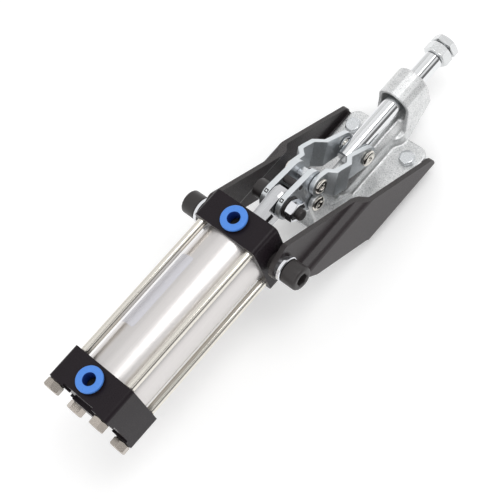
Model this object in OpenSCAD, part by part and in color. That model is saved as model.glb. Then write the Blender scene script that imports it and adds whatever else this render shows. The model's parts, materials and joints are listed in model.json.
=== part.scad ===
// Pneumatic push clamp. A tilting cylinder drives a toggle that pushes a plunger forward.
// Origin: centre of the four mounting screws, on the mounting plane. X is the push direction,
// Y is to the left and Z is up. All sizes are in millimetres.

/* [Cylinder] */
// Outer diameter of the tube
tube_od = 45; // [43:0.5:46]
// Wall of the tube
tube_wall = 2.5; // [2:0.25:3]
// How far the caps stand out round the tube
cap_margin = 2.5; // [2.5:0.25:3.5]
// Corner radius of the caps
cap_corner_r = 3; // [1:0.5:5]
// Length of the rear cap
rear_cap_len = 22; // [18:0.5:30]
// Length of the front head
front_head_len = 21.3; // [19:0.1:30]
// Length of the tube between the caps
tube_len = 107; // [85:1:160]
// Depth of the tube's seat in each cap
tube_seat = 3; // [2:0.5:5]
// Diameter of the four tie rods
tie_rod_d = 6; // [5:0.5:6]
// Distance of the tie rods from the sides of the caps
tie_rod_edge = 5.5; // [5.25:0.25:6]
// Height of the nuts on the tie rods
rod_nut_h = 5; // [4:0.5:6]
// Width across the flats of the nuts on the tie rods
rod_nut_af = 10; // [9:0.5:10.5]
// How far the corner pads under the nuts stand out
pad_h = 1.5; // [1:0.25:2.5]
// How far the boss in the middle of the rear face stands out
boss_h = 3; // [2:0.5:4]

/* [Piston and rod] */
// Diameter of the piston rod
piston_rod_d = 10; // [9:0.5:12]
// Thickness of the piston
piston_len = 16; // [12:0.5:20]
// Gap behind the piston when the rod is in
rear_gap = 8; // [6:0.5:12]
// Thickness of the flat tongue at the end of the rod
tongue_t = 8; // [7:0.25:8.2]
// Half height of the tongue
tongue_r = 10; // [9.8:0.1:11]
// Length of the tongue behind its eye
tongue_back = 15; // [13:0.5:17]
// Bare rod between the gland and the tongue when the rod is in
rod_show = 5.95; // [4:0.05:8]
// Thickness of the gland's collar in front of the head
gland_collar_t = 1.8; // [1:0.1:2.5]

/* [Air fittings] */
// Diameter of the air tube that pushes in
air_tube_d = 8; // [6:1:8]
// Outer diameter of the release ring
ring_od = 17.4; // [16:0.2:18.5]
// Thickness of the release ring
ring_t = 2.2; // [1.6:0.2:3]
// Travel of the release ring
ring_travel = 1.2; // [0.8:0.1:1.6]
// Outer diameter of the fitting's body
fitting_d = 14; // [13:0.5:14.5]
// Depth of the fitting's body in the cap
fitting_depth = 13; // [12:0.5:15]

/* [Trunnion] */
// Diameter of the trunnion screws
pivot_d = 10; // [8:0.5:11]
// Diameter of the heads of the trunnion screws
pivot_head_d = 16.3; // [15:0.1:18]
// Height of the heads of the trunnion screws
pivot_head_h = 11.2; // [9:0.2:12]
// Hexagon socket of the trunnion screws, across the flats
pivot_socket_af = 8; // [6:0.5:9]
// Depth of the trunnion screws in the front head
pivot_depth = 12; // [10:0.5:13]
// Outer diameter of the bushes in the brackets
bush_d = 13; // [12.5:0.25:14]
// Diameter of the flange of each bush
bush_flange_d = 17.6; // [16:0.2:19]
// Thickness of the flange of each bush
bush_flange_t = 2.8; // [2:0.2:4]
// Length of the stepped neck between the flange and the bracket
bush_neck = 1.6; // [1.2:0.2:2.4]

/* [Brackets] */
// Thickness of the bracket plates
sheet_t = 3.5; // [3:0.25:4]
// Gap between the front head and the upper arms
arm_gap = 3.8; // [3:0.2:4.6]
// How far the lower wings stand outside the upper arms
arm_jog = 6.5; // [6:0.25:7.5]
// Height of the bends' lower edge above the mounting plane
bend_low_z = 38.5; // [37:0.5:39]
// Height of the bends' upper edge above the mounting plane
bend_high_z = 45; // [44.5:0.5:48]
// Outer radius of the bends
bend_r = 4.5; // [4.3:0.1:5]
// Front end of the brackets
bracket_front = 33.3; // [32:0.1:34]
// Rear end of the feet
foot_back = -34.4; // [-37:0.1:-33]
// Radius of the rounded nose of the brackets
bracket_nose_r = 5; // [4:0.25:6]
// Inner edge of the feet
foot_in = 14; // [12:0.5:17]
// Radius of the round end about the trunnion
arm_end_r = 9.6; // [9:0.1:10]
// Distance of the brackets' upper edge above the trunnion
arm_shoulder = 16; // [14:0.25:18]

/* [Base casting] */
// Thickness of the flange
flange_t = 3.5; // [3:0.25:5]
// Half width of the flange
flange_half_w = 32.6; // [32:0.1:32.7]
// Front end of the flange
flange_front = 37.2; // [36:0.2:40]
// Rear end of the flange
flange_rear = -54; // [-58:0.5:-52]
// Spacing of the mounting screws along X
screw_pitch_x = 48; // [46:0.5:50]
// Spacing of the mounting screws along Y
screw_pitch_y = 47; // [45:0.5:48]
// Diameter of the mounting screws
screw_d = 6; // [5:0.5:6.5]
// Head diameter of the mounting screws
screw_head_d = 11.5; // [10:0.25:12]
// Head height of the mounting screws
screw_head_h = 3.3; // [2.8:0.1:3.8]
// Length of the mounting screws below the mounting plane
stud_len = 8; // [5:0.5:14]
// Height of the plunger axis above the mounting plane
plunger_z = 30; // [29.5:0.1:31]
// Half width of the rib that runs along the flange
rib_half_w = 9.2; // [8.8:0.1:10]
// Height of the rib's top
rib_top_z = 22; // [21:0.25:22.5]
// Outer radius of the barrel that guides the plunger
barrel_r = 12.9; // [12:0.1:13.5]
// Rear end of the barrel
barrel_back = 43.2; // [42:0.2:45]
// Front end of the barrel
barrel_front = 65.2; // [62:0.2:70]
// Radius of the hollow in the barrel's rear end
hollow_r = 10.2; // [9.5:0.1:10.8]
// Depth of the hollow in the barrel's rear end
hollow_depth = 10; // [6:0.5:14]
// Thickness of the ears that hold the lever
ear_t = 3.6; // [3:0.1:4]
// Radius of the trough under the plunger
trough_r = 9.5; // [9:0.1:10]
// Rear end of the trough
trough_back = -18; // [-22:0.5:-12]

/* [Toggle] */
// Height of the trunnion and of the cylinder axis above the mounting plane
axis_z = 60.5; // [60:0.1:61]
// Place of the lever's fixed pivot along X
lever_pivot_x = -46.8; // [-47.2:0.1:-46.4]
// Height of the lever's fixed pivot
lever_pivot_z = 42; // [41.6:0.1:42.4]
// Place of the links' pivot on the lever along X
link_pivot_x = -40.5; // [-40.8:0.1:-40.2]
// Height of the links' pivot on the lever
link_pivot_z = 55; // [54.7:0.1:55.3]
// Place of the cross bolt along X
bolt_x = -65; // [-65.3:0.1:-64.7]
// Place of the plunger's pin along X
plunger_pin_x = 1.6; // [1.2:0.1:2]
// Thickness of the lever plates
lever_t = 4; // [3.5:0.1:4]
// Radius of the lever plates about the cross bolt
lever_end_r = 9.5; // [9:0.1:10]
// Thickness of the link plates
link_t = 3.5; // [3:0.1:3.6]
// How far the links bulge outward
link_bulge = 4.8; // [4.4:0.1:5.4]
// Half height of the link plates at the bulge
link_half_h = 10.5; // [9:0.1:11]
// Diameter of the pivot pins of the toggle
toggle_pin_d = 7.5; // [7:0.1:8]
// Diameter of the cross bolt
bolt_d = 8; // [7.5:0.1:8]
// Width across the flats of the cross bolt's nut
bolt_nut_af = 13; // [12:0.5:13]

/* [Plunger] */
// Diameter of the plunger
plunger_d = 13.4; // [12.8:0.1:14]
// Rear end of the plunger
plunger_back = -8.1; // [-8.3:0.1:-7.5]
// Front end of the plunger
plunger_front = 84.5; // [80:0.5:95]
// Thread diameter of the spindle bolt
spindle_d = 10; // [8:0.5:10]
// Width across the flats of the spindle's head and lock nut
spindle_af = 17; // [15:0.5:18]
// Height of the lock nut
lock_nut_h = 6; // [5:0.5:8]
// Bare thread between the lock nut and the head
spindle_gap = 5; // [2:0.5:12]
// Height of the spindle's head
spindle_head_h = 7; // [6:0.5:9]

/* [Hidden] */

$fn = 64;
arc_steps = 8;
// Radial clearance of a running fit
run_fit = 0.05;
// Radial clearance of a pressed or screwed fit
tight_fit = 0.02;
// Radial room round the mounting screws
screw_gap = 0.3;
// Gap between faces that slide past each other
side_gap = 0.3;
// Overlap that lets a cut reach past a face
cut = 1;

// Cylinder across its axis
bore_d = tube_od - 2 * tube_wall;
cap_w = tube_od + 2 * cap_margin;
tie_rod_pitch = cap_w - 2 * tie_rod_edge;

// Brackets beside the cylinder
arm_y = cap_w / 2 + arm_gap + sheet_t;
wing_y = arm_y + arm_jog;

// Places along X, back from the cross bolt in the rod's tongue
head_mid_x = bolt_x - tongue_back - rod_show - gland_collar_t - front_head_len / 2;
head_front_x = head_mid_x + front_head_len / 2;
head_back_x = head_mid_x - front_head_len / 2;
cap_front_x = head_back_x - tube_len;
cap_back_x = cap_front_x - rear_cap_len;
fitting_rear_x = cap_back_x + rear_cap_len / 2;
cap_top_z = axis_z + cap_w / 2;

// Sealed space inside the tube
chamber_back_x = cap_front_x;
piston_back_x = chamber_back_x + rear_gap;
piston_front_x = piston_back_x + piston_len;
piston_mid_x = piston_back_x + piston_len / 2;

// Piston with its two seals and its wear ring
piston_r = bore_d / 2 - 0.3;
stud_r = piston_rod_d * 0.4;
seal_groove = 2.6;
seal_w = 3.2;
seal_edge = 1.5;
seal_slack = 0.1;
wear_ring_t = 1;
wear_ring_w = 3;
piston_nut_h = 5;
stud_tail = 1.5;

// Gland in the front head with the groove of the rod's seal
gland_r = piston_rod_d / 2 + 4;
gland_groove_r = piston_rod_d / 2 + 2.5;
gland_groove_w = 5;

// Layers of the toggle, counted outward from the middle
lever_in = tongue_t / 2 + 0.4;
lever_out = lever_in + lever_t;
link_in = lever_out + side_gap;
link_out = link_in + link_t;
link_front_in = 8.2;
ear_in = lever_out + side_gap + 0.1;
ear_out = ear_in + ear_t;

// Places on the base
flange_z = sheet_t;
flange_top_z = flange_z + flange_t;
neck_foot_z = rib_top_z - 8;
lever_space_x = lever_pivot_x + 20;
arm_top_z = axis_z + arm_shoulder + 4;
pocket_reach = 4;

// The links lie along a slanted line at rest
link_dx = plunger_pin_x - link_pivot_x;
link_dz = plunger_z - link_pivot_z;
link_len = sqrt(link_dx * link_dx + link_dz * link_dz);
link_fall = atan2(-link_dz, link_dx);

// Spindle bolt in the front of the plunger
spindle_seat_x = plunger_front + side_gap;
spindle_head_x = spindle_seat_x + lock_nut_h + spindle_gap;
spindle_depth = 2 * spindle_d;

// Steel pins
pin_head_r = toggle_pin_d / 2 + 1.6;
pin_head_t = 1.7;
// Thin necks of the plunger's pin, where the links' open eyes pass over it
pin_neck_r = 2.6;
// Room that the open pivots need over the whole travel
eye_room_up = 4.25;
eye_room_along = 0.9;
pin_room = 2.4;

// Rivet between the lever plates
spacer_x = bolt_x + 13;
spacer_z = axis_z + 5;
spacer_neck_r = 1.8;

// Cross bolt with its washers and nut
washer_t = 1.4;
washer_r = 7.6;
bolt_head_r = 6.5;
bolt_head_h = 8;
bolt_socket_af = 6;
bolt_nut_h = 6.5;
bolt_tail = 3.5;

head_colour = [0.13, 0.12, 0.14];
bracket_colour = [0.17, 0.16, 0.16];
casting_colour = [0.80, 0.81, 0.81];
zinc_colour = [0.72, 0.74, 0.76];
tube_colour = [0.82, 0.81, 0.80];
nickel_colour = [0.78, 0.76, 0.72];
oxide_colour = [0.12, 0.11, 0.11];
ring_colour = [0.25, 0.50, 0.92];
rubber_colour = [0.08, 0.08, 0.08];
brass_colour = [0.80, 0.66, 0.36];
plastic_colour = [0.85, 0.85, 0.80];

// Angle of the outer tangent's normal from circle a to circle b, going round anticlockwise
function tangent_normal(a, b) =
    atan2(b[1] - a[1], b[0] - a[0]) - acos((a[2] - b[2]) / norm([b[0] - a[0], b[1] - a[1]]));

// Points of the arc on circle c between two normals; a negative radius makes an inner corner
function corner(c, from, to) =
    let (turn = c[2] < 0 ? -((from - to + 720) % 360) : (to - from + 720) % 360)
    c[2] == 0
        ? [[c[0], c[1]]]
        : [for (i = [0 : arc_steps])
            let (a = from + turn * i / arc_steps)
            [c[0] + c[2] * cos(a), c[1] + c[2] * sin(a)]];

// Closed outline pulled taut round circles [x, y, radius], listed anticlockwise
function belt(circles) =
    let (n = len(circles))
    [for (i = [0 : n - 1])
        let (
            before = circles[(i + n - 1) % n],
            here = circles[i],
            after = circles[(i + 1) % n]
        )
        each corner(here, tangent_normal(before, here), tangent_normal(here, after))];

// Turns a drawing in X and Z into a plate between two values of Y
module side_plate(y_from, y_to) {
    translate([0, y_to, 0]) rotate([90, 0, 0]) linear_extrude(y_to - y_from) children();
}

// Turns a drawing in Y and Z into a bar between two values of X
module bar(x_from, x_to) {
    translate([x_from, 0, 0]) rotate([90, 0, 90]) linear_extrude(x_to - x_from) children();
}

// Round bar along X
module rod_x(x_from, x_to, r) {
    translate([x_from, 0, 0]) rotate([0, 90, 0]) cylinder(h = x_to - x_from, r = r);
}

// Round bar along Y
module rod_y(y_from, y_to, r) {
    translate([0, y_to, 0]) rotate([90, 0, 0]) cylinder(h = y_to - y_from, r = r);
}

// Radius of the circle round a hexagon of a given width across its flats
function hex_r(af) = af / 2 / cos(30);

// Hexagonal bar along X
module hex_x(x_from, x_to, af) {
    translate([x_from, 0, 0]) rotate([0, 90, 0]) cylinder(h = x_to - x_from, r = hex_r(af), $fn = 6);
}

// Hexagonal nut along X with rounded-off corners
module nut_x(x_from, x_to, af) {
    intersection() {
        hex_x(x_from, x_to, af);
        turned_x(x_from, x_to, hex_r(af), (hex_r(af) - af / 2) * 0.6);
    }
}

// Disc along X with chamfered edges
module turned_x(x_from, x_to, r, edge) {
    translate([x_from, 0, 0]) rotate([0, 90, 0]) rotate_extrude()
        polygon([
            [0, 0], [r - edge, 0], [r, edge], [r, x_to - x_from - edge],
            [r - edge, x_to - x_from], [0, x_to - x_from]
        ]);
}

// Puts children at a point of the side view
module at(x, z) {
    translate([x, 0, z]) children();
}

// Copies children on the left and on the right
module both_sides() {
    children();
    mirror([0, 1, 0]) children();
}

// Puts children at the four tie rods
module at_tie_rods() {
    for (y = [-1, 1], z = [-1, 1])
        translate([0, y * tie_rod_pitch / 2, axis_z + z * tie_rod_pitch / 2]) children();
}

// Puts children at the four mounting screws
module at_screws() {
    for (x = [-1, 1], y = [-1, 1])
        translate([x * screw_pitch_x / 2, y * screw_pitch_y / 2, 0]) children();
}

// Cap outline in Y and Z, about the cylinder axis
module cap_outline() {
    half = cap_w / 2 - cap_corner_r;
    polygon(belt([
        [half, axis_z - half, cap_corner_r], [half, axis_z + half, cap_corner_r],
        [-half, axis_z + half, cap_corner_r], [-half, axis_z - half, cap_corner_r]
    ]));
}

// Flange of the casting seen from above
module flange_outline() {
    corner_r = 7;
    waist_x = lever_pivot_x + 11;
    tail_half_w = 17;
    polygon(belt([
        [flange_front - corner_r, -flange_half_w + corner_r, corner_r],
        [flange_front - corner_r, flange_half_w - corner_r, corner_r],
        [waist_x + corner_r, flange_half_w - corner_r, corner_r],
        [flange_rear + corner_r, tail_half_w - corner_r, corner_r],
        [flange_rear + corner_r, -tail_half_w + corner_r, corner_r],
        [waist_x + corner_r, -flange_half_w + corner_r, corner_r]
    ]));
}

// Ear that holds the lever's fixed pivot, in side view
module ear_outline() {
    tip_r = 6.2;
    toe_len = 26;
    toe_h = 4;
    throat_r = 9;
    foot_front_x = lever_pivot_x + toe_len;
    polygon(belt([
        [lever_pivot_x, lever_pivot_z, tip_r],
        [flange_rear + 1, flange_top_z - cut, 0],
        [foot_front_x, flange_top_z - cut, 0],
        [foot_front_x, flange_top_z + toe_h, toe_h / 2],
        [foot_front_x - throat_r, lever_pivot_z - tip_r - toe_h - 1, -throat_r]
    ]));
}

// Foot of the barrel's neck seen from above, curving in to the width of the rib
module neck_foot_plan() {
    waist_r = 6;
    shoulder_r = 6;
    ledge = 0.3;
    overlap = 0.4;
    waist_x = flange_front - 13.5;
    half = barrel_r + ledge;
    polygon(belt([
        [waist_x - waist_r, -rib_half_w + 3, 0],
        [waist_x, -rib_half_w - waist_r + overlap, -waist_r],
        [flange_front - 3, -half + shoulder_r, shoulder_r],
        [flange_front - cut, -half, 0],
        [flange_front - cut, half, 0],
        [flange_front - 3, half - shoulder_r, shoulder_r],
        [waist_x, rib_half_w + waist_r - overlap, -waist_r],
        [waist_x - waist_r, rib_half_w - 3, 0]
    ]));
}

// Rib along the flange in Y and Z
module rib_section() {
    crown_half = link_front_in - 0.8;
    crown_r = 1.5;
    side_r = 2.5;
    side_z = rib_top_z - 6;
    polygon(belt([
        [rib_half_w, flange_z, 0],
        [rib_half_w - side_r, side_z, side_r],
        [crown_half - crown_r, rib_top_z - crown_r, crown_r],
        [-crown_half + crown_r, rib_top_z - crown_r, crown_r],
        [-rib_half_w + side_r, side_z, side_r],
        [-rib_half_w, flange_z, 0]
    ]));
}

// Barrel and its neck in Y and Z, round above and straight-sided below
module barrel_section() {
    polygon(belt([[barrel_r, flange_z, 0], [0, plunger_z, barrel_r], [-barrel_r, flange_z, 0]]));
}

// Barrel and its neck in side view, with a slanted front and a filleted rear edge
module barrel_outline() {
    fillet_r = 4;
    sink = 0.4;
    polygon(belt([
        [flange_front - 6, flange_z, 0],
        [flange_front + 2, flange_z, 0],
        [barrel_front, plunger_z - barrel_r - 0.5, 0],
        [barrel_front, plunger_z + barrel_r + cut, 0],
        [barrel_back, plunger_z + barrel_r + cut, 0],
        [barrel_back, plunger_z, 0],
        [flange_front - 3.8, neck_foot_z + fillet_r - sink, -fillet_r],
        [flange_front - 6, neck_foot_z - 1, 0]
    ]));
}

// Arched pocket in the rear of the barrel, in Y and Z
module pocket_section() {
    floor_z = rib_top_z - 0.3;
    polygon(belt([[-hollow_r, floor_z, 0], [hollow_r, floor_z, 0], [0, plunger_z, hollow_r]]));
}

module base_casting() {
    lever_space_top = lever_pivot_z + 18;
    color(casting_colour) difference() {
        union() {
            translate([0, 0, flange_z]) linear_extrude(flange_t) flange_outline();
            bar(lever_space_x, barrel_back) rib_section();
            translate([0, 0, flange_z]) linear_extrude(neck_foot_z - flange_z) neck_foot_plan();
            both_sides() side_plate(ear_in, ear_out) ear_outline();
            intersection() {
                bar(lever_space_x, barrel_front + cut) barrel_section();
                side_plate(-barrel_r - cut, barrel_r + cut) barrel_outline();
            }
        }
        // Trough under the plunger
        at(0, plunger_z) rod_x(trough_back, barrel_back + cut, trough_r);
        bar(barrel_back - pocket_reach, barrel_back + hollow_depth) pocket_section();
        at(0, plunger_z) rod_x(barrel_back, barrel_front + 2 * cut, plunger_d / 2 + run_fit);
        // Space for the lever between the ears
        side_plate(-ear_in, ear_in) polygon([
            [flange_rear - cut, flange_top_z], [lever_space_x, flange_top_z],
            [lever_space_x, lever_space_top], [flange_rear - cut, lever_space_top]
        ]);
        at(lever_pivot_x, lever_pivot_z) rod_y(-ear_out - cut, ear_out + cut, toggle_pin_d / 2 + tight_fit);
        at_screws() cylinder(h = 2 * flange_top_z, r = screw_d / 2 + screw_gap);
    }
}

// Outline of a bracket in side view
module bracket_outline() {
    shoulder_r = 4;
    foot_r = 2;
    heel_r = 5;
    heel_ahead = 19.5;
    heel_drop = 27.5;
    polygon(belt([
        [foot_back, 0, 0],
        [bracket_front - foot_r, foot_r, foot_r],
        [bracket_front - bracket_nose_r, bracket_nose_r + 1, bracket_nose_r],
        [head_mid_x + shoulder_r + 3.4, axis_z + arm_shoulder - shoulder_r - 2.4, shoulder_r],
        [head_mid_x, axis_z, arm_end_r],
        [head_mid_x + heel_ahead, axis_z - heel_drop, heel_r],
        [foot_back - 3.4, 5.5, 0]
    ]));
}

// Bent sheet of a bracket in Y and Z
module bracket_section() {
    inner_r = bend_r - sheet_t;
    polygon(belt([
        [foot_in, 0, 0],
        [wing_y - bend_r, bend_r, bend_r],
        [wing_y - bend_r, bend_low_z, bend_r],
        [arm_y + inner_r, bend_high_z, -inner_r],
        [arm_y, arm_top_z, 0],
        [arm_y - sheet_t, arm_top_z, 0],
        [arm_y + inner_r, bend_high_z, bend_r],
        [wing_y - bend_r, bend_low_z, -inner_r],
        [wing_y - bend_r, bend_r, -inner_r],
        [foot_in, sheet_t, 0]
    ]));
}

module bracket() {
    difference() {
        intersection() {
            bar(head_mid_x - arm_end_r - cut, bracket_front + cut) bracket_section();
            side_plate(0, wing_y + cut) bracket_outline();
        }
        at_screws() translate([0, 0, -cut]) cylinder(h = sheet_t + 2 * cut, r = screw_d / 2 + screw_gap);
        at(head_mid_x, axis_z) rod_y(0, wing_y + cut, bush_d / 2);
    }
}

module bracket_left() {
    color(bracket_colour) bracket();
}

module bracket_right() {
    color(bracket_colour) mirror([0, 1, 0]) bracket();
}

// Button-head screw standing on the flange
module mounting_screws() {
    socket_af = screw_d * 2 / 3;
    socket_depth = screw_head_h * 0.6;
    shank_extra = 0.12;
    dome_r = 2;
    rim_r = 0.4;
    color(zinc_colour) at_screws() difference() {
        union() {
            translate([0, 0, -stud_len]) cylinder(h = stud_len, r = screw_d / 2);
            translate([0, 0, -side_gap]) cylinder(h = side_gap + flange_top_z, r = screw_d / 2 + shank_extra);
            translate([0, 0, flange_top_z]) rotate_extrude() polygon(belt([
                [0, 0, 0],
                [screw_head_d / 2 - rim_r, rim_r, rim_r],
                [screw_head_d / 2 - dome_r - rim_r, screw_head_h - dome_r, dome_r],
                [0, screw_head_h, 0]
            ]));
        }
        translate([0, 0, flange_top_z + screw_head_h - socket_depth])
            cylinder(h = socket_depth + cut, r = hex_r(socket_af), $fn = 6);
    }
}

// Pin with a hollow riveted head on both ends
module riveted_pin(half_len, r, head_r, head_t) {
    recess_r = r * 0.55;
    difference() {
        union() {
            rod_y(-half_len - head_t, half_len + head_t, r);
            both_sides() rod_y(half_len, half_len + head_t, head_r);
        }
        both_sides() rod_y(half_len, half_len + head_t + cut, recess_r);
    }
}

module ground_pin() {
    color(nickel_colour) at(lever_pivot_x, lever_pivot_z)
        riveted_pin(ear_out, toggle_pin_d / 2, pin_head_r, pin_head_t);
}

// Flanged bush in the bracket, its bore carries the trunnion screw
module trunnion_bush() {
    neck_rim = 0.5;
    color(nickel_colour) at(head_mid_x, axis_z) difference() {
        union() {
            rod_y(arm_y - sheet_t, arm_y + bush_neck + bush_flange_t, bush_d / 2);
            rod_y(arm_y, arm_y + bush_neck, bush_d / 2 + neck_rim);
            rod_y(arm_y + bush_neck, arm_y + bush_neck + bush_flange_t, bush_flange_d / 2);
        }
        rod_y(cap_w / 2, wing_y + cut, pivot_d / 2 + run_fit);
    }
}

module trunnion_bush_left() {
    trunnion_bush();
}

module trunnion_bush_right() {
    mirror([0, 1, 0]) trunnion_bush();
}

module rear_cap() {
    pad_w = 14;
    boss_w = 20;
    rod_gap = 0.2;
    airway_r = air_tube_d / 4;
    color(head_colour) difference() {
        union() {
            bar(cap_back_x, cap_front_x) cap_outline();
            intersection() {
                at_tie_rods() translate([cap_back_x - pad_h, -pad_w / 2, -pad_w / 2])
                    cube([pad_h + cut, pad_w, pad_w]);
                bar(cap_back_x - pad_h - cut, cap_front_x) cap_outline();
            }
            translate([cap_back_x - boss_h, -boss_w / 2, axis_z - boss_w / 2])
                cube([boss_h + cut, boss_w, boss_w]);
        }
        // Seat of the tube and its seal
        at(0, axis_z) rod_x(cap_front_x - tube_seat, cap_front_x + cut, tube_od / 2 + run_fit);
        at_tie_rods() rod_x(cap_back_x - boss_h - cut, cap_front_x + cut, tie_rod_d / 2 + rod_gap);
        fitting_hole(fitting_rear_x);
        // Air way from the fitting into the tube
        at(fitting_rear_x, axis_z + bore_d / 4) rod_x(0, rear_cap_len, airway_r);
        at(fitting_rear_x, axis_z + bore_d / 4) cylinder(h = cap_w / 4, r = airway_r);
    }
}

// Hole for an air fitting in the top of a cap
module fitting_hole(x) {
    translate([x, 0, cap_top_z - fitting_depth]) cylinder(h = fitting_depth + cut, r = fitting_d / 2);
}

module front_head() {
    blind_wall = 3;
    color(head_colour) difference() {
        bar(head_back_x, head_front_x) cap_outline();
        at(0, axis_z) rod_x(head_back_x - cut, head_back_x + tube_seat, tube_od / 2 + run_fit);
        at(0, axis_z) rod_x(head_back_x, head_front_x + cut, gland_r);
        at_tie_rods() rod_x(head_back_x - cut, head_front_x - blind_wall, tie_rod_d / 2 + tight_fit);
        at(head_mid_x, axis_z) both_sides()
            rod_y(cap_w / 2 - pivot_depth, cap_w / 2 + cut, pivot_d / 2 + tight_fit);
        fitting_hole(head_mid_x);
    }
}

module tube() {
    color(tube_colour) at(0, axis_z) difference() {
        rod_x(cap_front_x - tube_seat, head_back_x + tube_seat, tube_od / 2);
        rod_x(cap_front_x - tube_seat - cut, head_back_x + tube_seat + cut, bore_d / 2);
    }
}

module tie_rods() {
    rear_tail = 1.2;
    front_end = head_front_x - 4;
    color(nickel_colour) at_tie_rods()
        rod_x(cap_back_x - pad_h - rod_nut_h - rear_tail, front_end, tie_rod_d / 2);
}

module rear_nuts() {
    color(nickel_colour) at_tie_rods() difference() {
        nut_x(cap_back_x - pad_h - rod_nut_h, cap_back_x - pad_h, rod_nut_af);
        rod_x(cap_back_x - pad_h - rod_nut_h - cut, cap_back_x, tie_rod_d / 2 + tight_fit);
    }
}

// Bearing of the rod in the front head, with a thin collar in front
module rod_gland() {
    collar_rim = 1.5;
    color(nickel_colour) at(0, axis_z) difference() {
        union() {
            rod_x(head_back_x + tube_seat, head_front_x, gland_r);
            rod_x(head_front_x, head_front_x + gland_collar_t, gland_r + collar_rim);
        }
        rod_x(head_back_x, head_front_x + gland_collar_t + cut, piston_rod_d / 2 + run_fit);
        // Groove of the rod seal
        rod_x(head_mid_x, head_mid_x + gland_groove_w, gland_groove_r);
    }
}

module rod_seal() {
    color(rubber_colour) at(0, axis_z) difference() {
        rod_x(head_mid_x + seal_slack, head_mid_x + gland_groove_w - seal_slack, gland_groove_r - seal_slack);
        rod_x(head_mid_x, head_mid_x + gland_groove_w, piston_rod_d / 2 + run_fit);
    }
}

// Flat gaskets between the tube's ends and the caps
module tube_seals() {
    gasket_t = 0.8;
    gasket_w = 2.5;
    color(rubber_colour) at(0, axis_z) for (x = [cap_front_x - tube_seat, head_back_x + tube_seat - gasket_t])
        difference() {
            rod_x(x, x + gasket_t, bore_d / 2 - seal_slack);
            rod_x(x - cut, x + gasket_t + cut, bore_d / 2 - gasket_w);
        }
}

// Socket-head screw, the journal of the tilting cylinder
module trunnion_screw() {
    head_y = arm_y + bush_neck + bush_flange_t + side_gap;
    head_edge = 1;
    socket_depth = pivot_d / 2;
    tip_gap = 1;
    color(oxide_colour) at(head_mid_x, axis_z) difference() {
        union() {
            rod_y(cap_w / 2 - pivot_depth + tip_gap, head_y + head_edge, pivot_d / 2);
            translate([0, head_y, 0]) rotate([-90, 0, 0]) rotate_extrude() polygon([
                [0, 0], [pivot_head_d / 2, 0], [pivot_head_d / 2, pivot_head_h - head_edge],
                [pivot_head_d / 2 - head_edge, pivot_head_h], [0, pivot_head_h]
            ]);
        }
        translate([0, head_y + pivot_head_h - socket_depth, 0]) rotate([-90, 0, 0])
            cylinder(h = socket_depth + cut, r = hex_r(pivot_socket_af), $fn = 6);
    }
}

module trunnion_screw_left() {
    trunnion_screw();
}

module trunnion_screw_right() {
    mirror([0, 1, 0]) trunnion_screw();
}

// Spacer collars between the head and the brackets
module trunnion_collars() {
    collar_rim = 1.6;
    color(oxide_colour) at(head_mid_x, axis_z) both_sides() difference() {
        rod_y(cap_w / 2, arm_y - sheet_t - side_gap, pivot_d / 2 + collar_rim);
        rod_y(cap_w / 2 - cut, arm_y, pivot_d / 2 + tight_fit);
    }
}

// Push-in fitting sunk in a cap
module air_fitting(x) {
    tube_r = air_tube_d / 2;
    floor_t = 3;
    ring_room = 1.4;
    color(brass_colour) translate([x, 0, cap_top_z - fitting_depth]) difference() {
        cylinder(h = fitting_depth, r = fitting_d / 2);
        translate([0, 0, floor_t]) cylinder(h = fitting_depth, r = tube_r + ring_room);
        translate([0, 0, -cut]) cylinder(h = fitting_depth, r = tube_r / 2);
    }
}

module fitting_rear() {
    air_fitting(fitting_rear_x);
}

module fitting_front() {
    air_fitting(head_mid_x);
}

// Ring that lets the air tube go when it is pressed down
module release_ring(x) {
    tube_r = air_tube_d / 2;
    sleeve_r = tube_r + 1.1;
    sleeve_len = 6;
    edge_r = 0.7;
    under_z = cap_top_z + ring_travel + side_gap;
    color(ring_colour) translate([x, 0, under_z]) difference() {
        rotate_extrude() polygon(belt([
            [0, -sleeve_len, 0], [sleeve_r, -sleeve_len, 0], [sleeve_r, 0, 0], [ring_od / 2, 0, 0],
            [ring_od / 2 - edge_r, ring_t - edge_r, edge_r], [0, ring_t, 0]
        ]));
        translate([0, 0, -sleeve_len - cut])
            cylinder(h = sleeve_len + ring_t + 2 * cut, r = tube_r + run_fit);
    }
}

module release_ring_rear() {
    release_ring(fitting_rear_x);
}

module release_ring_front() {
    release_ring(head_mid_x);
}

// Side view of the tongue at the end of the rod
module tongue_outline() {
    polygon(belt([
        [bolt_x, axis_z, tongue_r],
        [bolt_x - tongue_back + 3, axis_z + tongue_r - 5, 3],
        [bolt_x - tongue_back + 3, axis_z - tongue_r + 5, 3]
    ]));
}

// Rod with its tongue; the eye is a slot because the pivot is left open here
module piston_rod() {
    slot_r = bolt_d / 2 + eye_room_along;
    slot_half = bolt_d / 2 + eye_room_up - slot_r;
    color(zinc_colour) difference() {
        union() {
            at(0, axis_z) rod_x(piston_front_x, bolt_x - tongue_r - 1, piston_rod_d / 2);
            at(0, axis_z) rod_x(piston_back_x - piston_nut_h - stud_tail, piston_front_x, stud_r);
            side_plate(-tongue_t / 2, tongue_t / 2) tongue_outline();
        }
        at(bolt_x, axis_z + slot_half) rod_y(-tongue_t, tongue_t, slot_r);
        at(bolt_x, axis_z - slot_half) rod_y(-tongue_t, tongue_t, slot_r);
        translate([bolt_x - slot_r, -tongue_t, axis_z - slot_half])
            cube([2 * slot_r, 2 * tongue_t, 2 * slot_half]);
    }
}

// Copies children, drawn from x = 0 forward, to the places of the two piston seals
module at_piston_seals() {
    for (x = [piston_back_x + seal_edge, piston_front_x - seal_edge - seal_w])
        translate([x, 0, axis_z]) children();
}

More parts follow.
